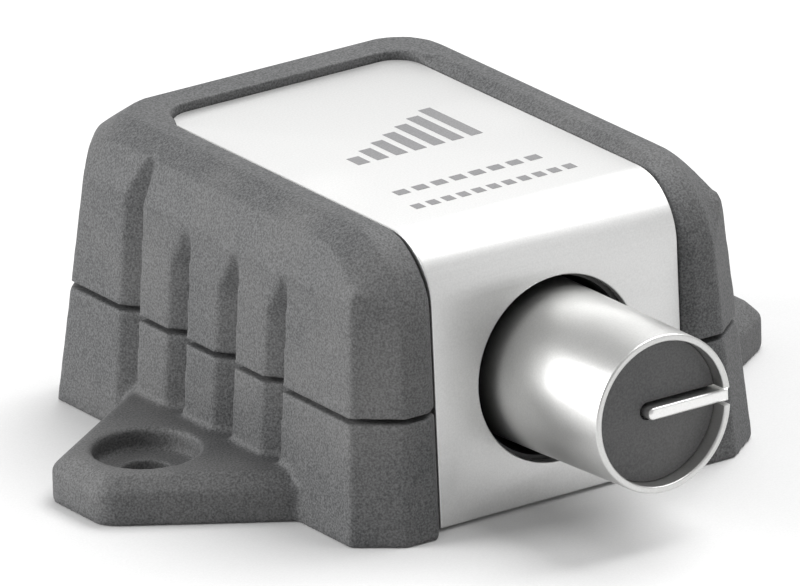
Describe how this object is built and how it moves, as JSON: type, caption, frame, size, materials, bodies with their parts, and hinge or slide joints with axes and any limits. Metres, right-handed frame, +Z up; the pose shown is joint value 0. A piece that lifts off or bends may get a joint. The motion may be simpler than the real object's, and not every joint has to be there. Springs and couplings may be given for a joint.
{
  "type": "wireless bass control remote",
  "caption": "Small battery-powered remote for a car bass speaker: a grained two-part housing with fixing ears, a bent metal cover plate and a satin turning knob with a pointer.",
  "frame": {"origin": "on the underside, midway between the two fixing holes in the ears", "axes": "+Z up out of the surface it is screwed to, the knob faces -Y, +X to the right seen from above with the knob towards the viewer"},
  "size_m": [0.082, 0.0757, 0.0309],
  "materials": {
    "housing_plastic": "fine moulded grain",
    "plate_metal": "satin, lightly brushed",
    "adhesive": "translucent film",
    "black_plastic": "fine matte",
    "knob_metal": "satin, turned",
    "cap_plastic": "fine matte",
    "pointer_metal": "satin",
    "steel": "zinc plated",
    "nickel_brass": "machined",
    "phenolic": "laminate",
    "contact_metal": "tinned spring sheet",
    "board_laminate": "solder mask",
    "chip_plastic": "moulded",
    "ceramic": "fired ceramic",
    "cell_steel": "bright",
    "seal_rubber": "moulded"
  },
  "bodies": {
    "housing": {"upper_housing": "housing_plastic", "lower_housing": "housing_plastic", "cover_plate": "plate_metal", "plate_adhesive": "adhesive", "knob_well": "black_plastic", "pot_bushing": "nickel_brass", "pot_washer": "steel", "pot_nut": "nickel_brass", "pot_can": "steel", "pot_track": "phenolic", "pot_terminals": "contact_metal", "main_board": "board_laminate", "board_screws": "steel", "rf_shield": "steel", "controller_chip": "chip_plastic", "board_components": "ceramic", "battery_cell": "cell_steel", "battery_contact_positive": "contact_metal", "battery_contact_negative": "contact_metal", "housing_screws": "steel"},
    "knob": {"knob_barrel": "knob_metal", "knob_core": "black_plastic", "knob_cap": "cap_plastic", "knob_pointer": "pointer_metal", "pot_shaft": "steel", "shaft_clip": "steel", "pot_wiper": "phenolic"},
    "battery_cap": {"battery_cap": "housing_plastic", "battery_cap_seal": "seal_rubber"}
  },
  "joints": [
    {"name": "knob_turn", "type": "hinge", "parent": "housing", "child": "knob", "pos_m": [0, -0.02627, 0.01375], "axis": [0, -0.9995, 0.0314], "range_deg": [-60, 240]},
    {"name": "battery_cap_turn", "type": "hinge", "parent": "housing", "child": "battery_cap", "pos_m": [0, 0.006, 0], "axis": [0, 0, -1], "range_deg": [0, 45]}
  ]
}
